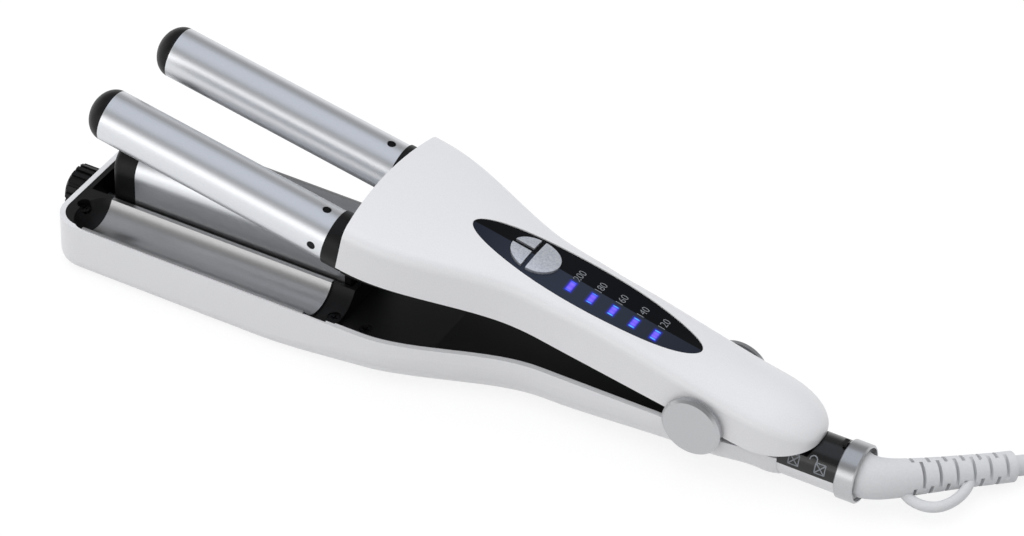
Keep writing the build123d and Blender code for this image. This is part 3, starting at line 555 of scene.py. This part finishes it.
# %% Bright brass
bright_brass, tree, shader = new_material("bright_brass", Metallic=1.0, Roughness=0.25)
brass_grain = grain(tree, 0.4, detail=2.0)
tint(tree, shader, brass_grain.outputs["Fac"], "b8924a", "cda75c")
bump_from(tree, shader, brass_grain.outputs["Fac"], 0.005)
paint(bright_brass, "slip_contacts")

# %% [markdown]
# ## Printed numbers
# Beside each light bar the panel carries the temperature that it stands for, pad-printed in
# pale grey. The numbers are made as text, turned to a mesh, and dropped onto the panel's slope
# point by point, so that the print lies on the surface as ink does. The ink dries to a matt,
# slightly uneven film.


# %% Lay flat shapes onto a piece
DROP_HEIGHT = 20 * MM


def tree_of(node):
    """A search tree over a construction piece's faces."""
    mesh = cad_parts[node].data
    return BVHTree.FromPolygons([v.co for v in mesh.vertices], [p.vertices for p in mesh.polygons])


def lay_on(mesh, surface, down, lift):
    """Drops every point of a mesh along down onto a surface, and lifts it off by a hair."""
    for vertex in mesh.vertices:
        hit = surface.ray_cast(vertex.co - down * DROP_HEIGHT, down)[0]
        if hit is not None:
            vertex.co = hit - down * lift


def piece_from_mesh(name, mesh, body, material):
    """Links a finished mesh as a piece that rides on a body."""
    piece = bpy.data.objects.new(name, mesh)
    bpy.context.scene.collection.objects.link(piece)
    mesh.materials.clear()
    mesh.materials.append(material)
    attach(piece, body)
    return piece


# %% Pale ink
pale_ink, tree, shader = new_material("pale_pad_print_ink", Roughness=0.6)
ink_grain = grain(tree, 0.4, detail=1.0)
tint(tree, shader, ink_grain.outputs["Fac"], "75787e", "8b8f95")
print("ink:", pale_ink.name)


# %% Text as a mesh
TYPE_SIZE_PER_HEIGHT = 1.4
THINNING_PER_HEIGHT = 0.012


def flat_text(words, height, to_place):
    """Text as a mesh, written in its own plane and moved by a matrix."""
    data = bpy.data.curves.new("words", "FONT")
    data.body = words
    data.size = TYPE_SIZE_PER_HEIGHT * height * MM
    data.offset = -THINNING_PER_HEIGHT * height * MM
    holder = bpy.data.objects.new("words", data)
    bpy.context.scene.collection.objects.link(holder)
    bpy.context.view_layer.update()
    mesh = bpy.data.meshes.new_from_object(holder)
    bpy.data.objects.remove(holder)
    mesh.transform(to_place)
    return mesh


# %% Print the temperatures
INK_LIFT = 0.04 * MM
NUMBER_HEIGHT = 2.9
NUMBER_START = -0.9
ABOVE_PANEL = 41
TEMPERATURES = (200, 180, 160, 140, 120)

swing_open = Matrix.Rotation(OPEN_ANGLE, 4, "Y")
arm_turn = Matrix.Translation(PIVOT) @ swing_open @ Matrix.Translation(-PIVOT)
arm_up = (swing_open.to_3x3() @ Vector((0, 0, 1))).normalized()
write_along_y = Matrix(((0, -1, 0), (1, 0, 0), (0, 0, 1))).to_4x4()
panel = tree_of("control_lens")
for i, temperature in enumerate(TEMPERATURES):
    x = FIRST_LIGHT + i * LIGHT_PITCH + NUMBER_HEIGHT / 2
    spot = Matrix.Translation(on_tool(x, NUMBER_START, ABOVE_PANEL))
    mesh = flat_text(str(temperature), NUMBER_HEIGHT, arm_turn @ spot @ write_along_y)
    lay_on(mesh, panel, -arm_up, INK_LIFT)
    label = piece_from_mesh(f"number_{temperature}", mesh, "upper_arm", pale_ink)
print("numbers printed:", len(TEMPERATURES))

# %% [markdown]
# ## Lock signs
# Two small padlocks are printed on the near side of the round neck: a shut one towards the
# pivot, and an open one by the ring. Each is a square with a cross in it and a bow. They are
# drawn as ribbons on a flat sheet, along the neck and up round it, and wrapped onto the neck.


# %% Ribbons on the round neck
NECK_RADIUS = 9.5
NECK_HEIGHT = 12.6
STROKE = 0.42
STROKE_STEP = 0.3


def dense(points):
    """The same line with a point about every STROKE_STEP millimetres."""
    line = [Vector(points[0])]
    for end in points[1:]:
        start = line[-1]
        run = Vector(end) - start
        count = max(round(run.length / STROKE_STEP), 1)
        line += [start + run * (k + 1) / count for k in range(count)]
    return line


def wrapped(point):
    """A point of the flat sheet, (along, up round) in millimetres, on the neck's near side."""
    angle = point.y / NECK_RADIUS
    reach = NECK_RADIUS + INK_LIFT / MM
    return on_tool(point.x, -reach * cos(angle), NECK_HEIGHT + reach * sin(angle))


def add_stroke(vertices, faces, points):
    """A ribbon as wide as the pen along a line of the sheet."""
    line = dense(points)
    first = len(vertices)
    for k, point in enumerate(line):
        heading = (line[min(k + 1, len(line) - 1)] - line[max(k - 1, 0)]).normalized()
        side = Vector((-heading.y, heading.x)) * STROKE / 2
        vertices += [wrapped(point + side), wrapped(point - side)]
    for corner in range(first, len(vertices) - 2, 2):
        faces.append((corner, corner + 1, corner + 3, corner + 2))


# %% Print the padlocks
SIGN_SIZE = 3.7
SIGN_BOTTOM = 1.5
BOW_RADIUS = 1.35
BOW_LEG = 0.7
LOOSE_END_GAP = 0.3
OPEN_BOW_LAP = 0.2
ARCH_STEPS = 8


def padlock(name, x, bow_x):
    """A crossed square whose left edge is at x, with a bow over it whose middle is at bow_x."""
    far, low, high = x + SIGN_SIZE, SIGN_BOTTOM, SIGN_BOTTOM + SIGN_SIZE
    angles = [pi * k / ARCH_STEPS for k in range(ARCH_STEPS + 1)]
    arch = [(bow_x + BOW_RADIUS * cos(a), high + BOW_LEG + BOW_RADIUS * sin(a)) for a in angles]
    foot = (bow_x + BOW_RADIUS, high)
    loose_end = (bow_x - BOW_RADIUS, high + LOOSE_END_GAP)
    vertices, faces = [], []
    add_stroke(vertices, faces, [(x, low), (far, low), (far, high), (x, high), (x, low)])
    add_stroke(vertices, faces, [(x, low), (far, high)])
    add_stroke(vertices, faces, [(x, high), (far, low)])
    add_stroke(vertices, faces, [foot, *arch, loose_end])
    mesh = bpy.data.meshes.new(name)
    mesh.from_pydata(vertices, [], faces)
    sign = piece_from_mesh(name, mesh, "lower_arm", pale_ink)


LOCKED_X = 32.6
UNLOCKED_X = 42.4
padlock("sign_locked", LOCKED_X, LOCKED_X + SIGN_SIZE / 2)
padlock("sign_unlocked", UNLOCKED_X, UNLOCKED_X - BOW_RADIUS + OPEN_BOW_LAP)

# %% [markdown]
# ## Floor and light
# A plain white table under a large soft light, as a product is shot. For the camera, two thirds
# of the table are a plain white glow and the rest is the lit table itself, so it looks white and
# its shadow stays, a little weaker. Mirrored rays find the same white table, which gives the
# barrels the bright band along their lower halves.


# %% The table
TABLE_SIZE = 8
TABLE_DROP = 0.3 * MM
TABLE_SHARE = 0.66
TABLE_GLOW = 1.25


def seen_white(tree):
    """1 for rays that should find a white room: straight, mirrored and through clear pieces."""
    rays = add_node(tree, "ShaderNodeLightPath").outputs
    mirrored = add_node(tree, "ShaderNodeMath", {"operation": "MAXIMUM"},
                        links={0: rays["Is Camera Ray"], 1: rays["Is Glossy Ray"]})
    return add_node(tree, "ShaderNodeMath", {"operation": "MAXIMUM"},
                    links={0: mirrored.outputs[0], 1: rays["Is Transmission Ray"]}).outputs[0]


bpy.ops.mesh.primitive_plane_add(size=TABLE_SIZE, location=(0, 0, -TABLE_DROP))
table = bpy.context.object
table.name = "table"
table_white, tree, shader = new_material("white_table", Base_Color=linear("cdcdce"), Roughness=0.9)
glow_share = work_out(tree, "MULTIPLY", seen_white(tree), TABLE_SHARE)
white = add_node(tree, "ShaderNodeEmission", inputs={"Color": (1, 1, 1, 1), "Strength": TABLE_GLOW})
mixed = add_node(tree, "ShaderNodeMixShader", links={
    0: glow_share, 1: shader.outputs["BSDF"], 2: white.outputs["Emission"]})
tree.links.new(mixed.outputs[0], tree.nodes["Material Output"].inputs["Surface"])
table.data.materials.append(table_white)
print("table:", TABLE_SIZE, "m across")


# %% Soft boxes
def soft_box(name, place, aim, size, power, colour):
    """A rectangular area light that looks at a point."""
    light = bpy.data.lights.new(name, "AREA")
    light.shape = "RECTANGLE"
    light.size = size[0]
    light.size_y = size[1]
    light.energy = power
    light.color = colour
    lamp_object = bpy.data.objects.new(name, light)
    lamp_object.location = place
    lamp_object.rotation_euler = (Vector(aim) - Vector(place)).to_track_quat("-Z", "Y").to_euler()
    bpy.context.scene.collection.objects.link(lamp_object)


AIM = (-0.03, 0, 0.03)
soft_box("overhead_box", (-0.15, 0.0, 1.3), AIM, (1.5, 1.15), 2.75, (0.79, 0.86, 1.0))
soft_box("near_strip", (-0.38, -1.3, 0.45), AIM, (1.6, 0.6), 3.3, (1.0, 0.99, 0.97))
soft_box("tip_strip", (-1.2, -0.2, 0.6), AIM, (0.4, 1.0), 0.8, (1.0, 1.0, 1.0))
print("soft boxes:", len(bpy.data.lights))

# %% [markdown]
# The room is white at the height of the tool, where the camera and the polished pieces look,
# and dimmer towards the ceiling. As a light it is the other way round: most comes from above.

# %% The room
SEEN_LEVELS = (1.0, 0.34)
SEEN_TOP = 0.5
LIT_LEVELS = (0.40, 1.06)
LIT_TOP = 1.0
HORIZON = 0.06


def from_horizon_up(tree, levels, top):
    """A level that goes from the first value at the horizon to the second at a height of top.

    Heights are the upward part of a direction of length 1: 0 is level and 1 is straight up.
    """
    direction = add_node(tree, "ShaderNodeTexCoord").outputs["Generated"]
    height = add_node(tree, "ShaderNodeSeparateXYZ", links={0: direction}).outputs["Z"]
    return add_node(tree, "ShaderNodeMapRange", {"interpolation_type": "SMOOTHSTEP"},
                    {"From Min": HORIZON, "From Max": top,
                     "To Min": levels[0], "To Max": levels[1]},
                    {"Value": height}).outputs["Result"]


world = bpy.data.worlds.new("studio")
world.use_nodes = True
tree = world.node_tree
backdrop = tree.nodes["Background"]
backdrop.inputs["Color"].default_value = (1, 1, 1, 1)
room_light = add_node(tree, "ShaderNodeMix", links={
    "Factor": seen_white(tree), "A": from_horizon_up(tree, LIT_LEVELS, LIT_TOP),
    "B": from_horizon_up(tree, SEEN_LEVELS, SEEN_TOP)})
tree.links.new(room_light.outputs["Result"], backdrop.inputs["Strength"])
bpy.context.scene.world = world

bpy.context.scene.view_settings.view_transform = "Standard"
print("room:", world.name)
